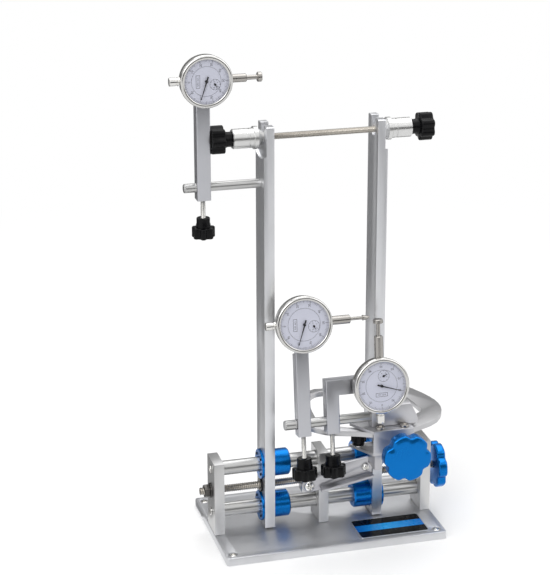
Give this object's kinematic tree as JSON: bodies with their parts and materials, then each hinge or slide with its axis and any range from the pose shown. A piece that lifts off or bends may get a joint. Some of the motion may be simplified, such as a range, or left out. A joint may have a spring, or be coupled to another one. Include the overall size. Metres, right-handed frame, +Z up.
{
  "type": "bicycle wheel truing stand",
  "caption": "Bench stand with a flat base, two uprights that slide apart on guide rods, an axle rod with clamps, hooked caliper arms and dial gauges on clamped bars.",
  "frame": {"origin": "centre of the base plate's underside, on the surface that the stand stands on", "axes": "+Z up, +X to the right along the guide rods, +Y away from the side that the gauges face"},
  "size_m": [0.288, 0.169, 0.5115],
  "materials": {
    "satin_aluminium": "satin anodised",
    "bright_steel": "polished",
    "threaded_steel": "threaded, oiled",
    "blue_anodised": "blue anodised",
    "black_plastic": "glossy moulded",
    "printed_plate": "printed bands",
    "gauge_metal": "satin nickel",
    "black_steel": "black oxide",
    "pointer_black": "matt black"
  },
  "bodies": {
    "stand": {"base_plate": "satin_aluminium", "nameplate": "printed_plate", "left_block": "satin_aluminium", "middle_block": "satin_aluminium", "right_block": "satin_aluminium", "lower_guide_rod": "bright_steel", "upper_guide_rod": "bright_steel", "axle_rod": "threaded_steel", "lever_pivot_bolt": "bright_steel"},
    "lead_drive": {"lead_screw": "threaded_steel", "lead_screw_nut": "bright_steel", "lead_screw_knob": "blue_anodised"},
    "left_column": {"left_upright": "satin_aluminium", "left_lower_bush": "blue_anodised", "left_upper_bush": "blue_anodised", "left_lead_nut": "black_steel", "left_axle_clamp": "satin_aluminium", "gauge_support_rod": "bright_steel"},
    "left_axle_tightener": {"left_axle_knob": "black_plastic"},
    "right_column": {"right_upright": "satin_aluminium", "right_lower_bush": "blue_anodised", "right_upper_bush": "blue_anodised", "right_lead_nut": "black_steel", "right_axle_clamp": "satin_aluminium"},
    "right_axle_tightener": {"right_axle_knob": "black_plastic"},
    "left_gauge_holder": {"left_gauge_bar": "satin_aluminium", "left_gauge_case": "gauge_metal"},
    "left_holder_clamp": {"left_gauge_clamp": "black_plastic"},
    "left_bezel": {"left_gauge_bezel": "bright_steel"},
    "left_long_hand": {"left_gauge_long_pointer": "pointer_black"},
    "left_short_hand": {"left_gauge_short_pointer": "pointer_black"},
    "left_plunger": {"left_gauge_spindle": "bright_steel"},
    "carriage": {"swing_lever": "satin_aluminium", "lever_screw": "bright_steel", "bracket": "satin_aluminium", "front_floor_screw": "bright_steel", "back_floor_screw": "bright_steel", "left_arm_screw": "bright_steel", "right_arm_screw": "bright_steel", "rod_block": "satin_aluminium", "cross_rod": "bright_steel"},
    "left_arm": {"left_caliper_arm": "satin_aluminium"},
    "right_arm": {"right_caliper_arm": "satin_aluminium"},
    "arm_adjuster": {"front_knob": "blue_anodised"},
    "arm_lock": {"small_knob": "black_plastic"},
    "middle_gauge_holder": {"middle_gauge_bar": "satin_aluminium", "middle_gauge_case": "gauge_metal"},
    "middle_holder_clamp": {"middle_gauge_clamp": "black_plastic"},
    "middle_bezel": {"middle_gauge_bezel": "bright_steel"},
    "middle_long_hand": {"middle_gauge_long_pointer": "pointer_black"},
    "middle_short_hand": {"middle_gauge_short_pointer": "pointer_black"},
    "middle_plunger": {"middle_gauge_spindle": "bright_steel"},
    "right_gauge_holder": {"right_gauge_bar": "satin_aluminium", "right_gauge_case": "gauge_metal"},
    "right_holder_clamp": {"right_gauge_clamp": "black_plastic"},
    "right_bezel": {"right_gauge_bezel": "bright_steel"},
    "right_long_hand": {"right_gauge_long_pointer": "pointer_black"},
    "right_short_hand": {"right_gauge_short_pointer": "pointer_black"},
    "right_plunger": {"right_gauge_spindle": "bright_steel"}
  },
  "joints": [
    {"name": "lead_screw_turn", "type": "hinge", "parent": "stand", "child": "lead_drive", "pos_m": [0, -0.0034, 0.0525], "axis": [1, 0, 0], "range_deg": [-1450, 3260]},
    {"name": "left_column_slide", "type": "slide", "parent": "stand", "child": "left_column", "axis": [-1, 0, 0], "range_m": [-0.008, 0.018]},
    {"name": "right_column_slide", "type": "slide", "parent": "stand", "child": "right_column", "axis": [1, 0, 0], "range_m": [-0.0081, 0.0182]},
    {"name": "left_axle_knob_turn", "type": "hinge", "parent": "left_column", "child": "left_axle_tightener", "pos_m": [-0.1, -0.0034, 0.4225], "axis": [-1, 0, 0], "range_deg": [0, 360]},
    {"name": "right_axle_knob_turn", "type": "hinge", "parent": "right_column", "child": "right_axle_tightener", "pos_m": [0.1, -0.0034, 0.4225], "axis": [1, 0, 0], "range_deg": [0, 360]},
    {"name": "left_holder_slide", "type": "slide", "parent": "left_column", "child": "left_gauge_holder", "axis": [1, 0, 0], "range_m": [-0.01, 0]},
    {"name": "left_clamp_turn", "type": "hinge", "parent": "left_gauge_holder", "child": "left_holder_clamp", "pos_m": [-0.1203, -0.0034, 0.3764], "axis": [0, 0, 1], "range_deg": [0, 360]},
    {"name": "left_bezel_turn", "type": "hinge", "parent": "left_gauge_holder", "child": "left_bezel", "pos_m": [-0.1203, -0.0282, 0.486], "axis": [0, 1, 0], "continuous": true},
    {"name": "left_long_hand_turn", "type": "hinge", "parent": "left_gauge_holder", "child": "left_long_hand", "pos_m": [-0.1203, -0.0282, 0.486], "axis": [0, 1, 0], "range_deg": [-10, 3610]},
    {"name": "left_short_hand_turn", "type": "hinge", "parent": "left_gauge_holder", "child": "left_short_hand", "pos_m": [-0.1118, -0.0282, 0.4826], "axis": [0, 1, 0], "range_deg": [-361, 1]},
    {"name": "left_plunger_slide", "type": "slide", "parent": "left_gauge_holder", "child": "left_plunger", "axis": [-1, 0, 0], "range_m": [0, 0.01], "stiffness_N_per_m": 60, "springref_m": -0.008},
    {"name": "carriage_swing", "type": "hinge", "parent": "stand", "child": "carriage", "pos_m": [-0.0178, -0.022, 0.0544], "axis": [0, -1, 0], "range_deg": [-5, 8]},
    {"name": "arm_adjuster_turn", "type": "hinge", "parent": "carriage", "child": "arm_adjuster", "pos_m": [0.0672, -0.07, 0.1025], "axis": [0, 1, 0], "range_deg": [-270, 450]},
    {"name": "left_arm_swing", "type": "hinge", "parent": "carriage", "child": "left_arm", "pos_m": [0.05, -0.049, 0.1145], "axis": [0, 0, -1], "range_deg": [-3, 5]},
    {"name": "right_arm_swing", "type": "hinge", "parent": "carriage", "child": "right_arm", "pos_m": [0.076, -0.049, 0.1145], "axis": [0, 0, 1], "range_deg": [-3, 5]},
    {"name": "arm_lock_turn", "type": "hinge", "parent": "carriage", "child": "arm_lock", "pos_m": [0.033, -0.031, 0.1], "axis": [0, 0, 1], "range_deg": [0, 360]},
    {"name": "middle_holder_slide", "type": "slide", "parent": "carriage", "child": "middle_gauge_holder", "axis": [1, 0, 0], "range_m": [-0.009, 0.006]},
    {"name": "middle_clamp_turn", "type": "hinge", "parent": "middle_gauge_holder", "child": "middle_holder_clamp", "pos_m": [-0.0282, -0.038, 0.131], "axis": [0, 0.1392, 0.9903], "range_deg": [0, 360]},
    {"name": "middle_bezel_turn", "type": "hinge", "parent": "middle_gauge_holder", "child": "middle_bezel", "pos_m": [-0.0292, -0.04768, 0.24031], "axis": [0, 0.9903, -0.1392], "continuous": true},
    {"name": "middle_long_hand_turn", "type": "hinge", "parent": "middle_gauge_holder", "child": "middle_long_hand", "pos_m": [-0.0292, -0.04768, 0.24031], "axis": [0, 0.9903, -0.1392], "range_deg": [-10, 3610]},
    {"name": "middle_short_hand_turn", "type": "hinge", "parent": "middle_gauge_holder", "child": "middle_short_hand", "pos_m": [-0.0192, -0.04803, 0.23783], "axis": [0, 0.9903, -0.1392], "range_deg": [-361, 1]},
    {"name": "middle_plunger_slide", "type": "slide", "parent": "middle_gauge_holder", "child": "middle_plunger", "axis": [-1, 0, 0], "range_m": [0, 0.01], "stiffness_N_per_m": 60, "springref_m": -0.008},
    {"name": "right_holder_slide", "type": "slide", "parent": "carriage", "child": "right_gauge_holder", "axis": [1, 0, 0], "range_m": [-0.006, 0.005]},
    {"name": "right_clamp_turn", "type": "hinge", "parent": "right_gauge_holder", "child": "right_holder_clamp", "pos_m": [0.002, -0.038, 0.131], "axis": [0, 0.1392, 0.9903], "range_deg": [0, 360]},
    {"name": "right_bezel_turn", "type": "hinge", "parent": "right_gauge_holder", "child": "right_bezel", "pos_m": [0.049, -0.05748, 0.1706], "axis": [0, 0.9903, -0.1392], "continuous": true},
    {"name": "right_long_hand_turn", "type": "hinge", "parent": "right_gauge_holder", "child": "right_long_hand", "pos_m": [0.049, -0.05748, 0.1706], "axis": [0, 0.9903, -0.1392], "range_deg": [-10, 3610]},
    {"name": "right_short_hand_turn", "type": "hinge", "parent": "right_gauge_holder", "child": "right_short_hand", "pos_m": [0.0515, -0.05609, 0.1805], "axis": [0, 0.9903, -0.1392], "range_deg": [-361, 1]},
    {"name": "right_plunger_slide", "type": "slide", "parent": "right_gauge_holder", "child": "right_plunger", "axis": [0, -0.1392, -0.9903], "range_m": [0, 0.01], "stiffness_N_per_m": 60, "springref_m": -0.008}
  ],
  "couplings": [
    {"joint": "lead_screw_turn", "follows": "left_column_slide", "rad_per_m": 3141.5},
    {"joint": "right_column_slide", "follows": "left_column_slide", "ratio": 1},
    {"joint": "left_arm_swing", "follows": "arm_adjuster_turn", "ratio": 0.01111},
    {"joint": "right_arm_swing", "follows": "arm_adjuster_turn", "ratio": 0.01111},
    {"joint": "left_long_hand_turn", "follows": "left_plunger_slide", "rad_per_m": 6283},
    {"joint": "left_short_hand_turn", "follows": "left_plunger_slide", "rad_per_m": -628.3},
    {"joint": "middle_long_hand_turn", "follows": "middle_plunger_slide", "rad_per_m": 6283},
    {"joint": "middle_short_hand_turn", "follows": "middle_plunger_slide", "rad_per_m": -628.3},
    {"joint": "right_long_hand_turn", "follows": "right_plunger_slide", "rad_per_m": 6283},
    {"joint": "right_short_hand_turn", "follows": "right_plunger_slide", "rad_per_m": -628.3}
  ]
}
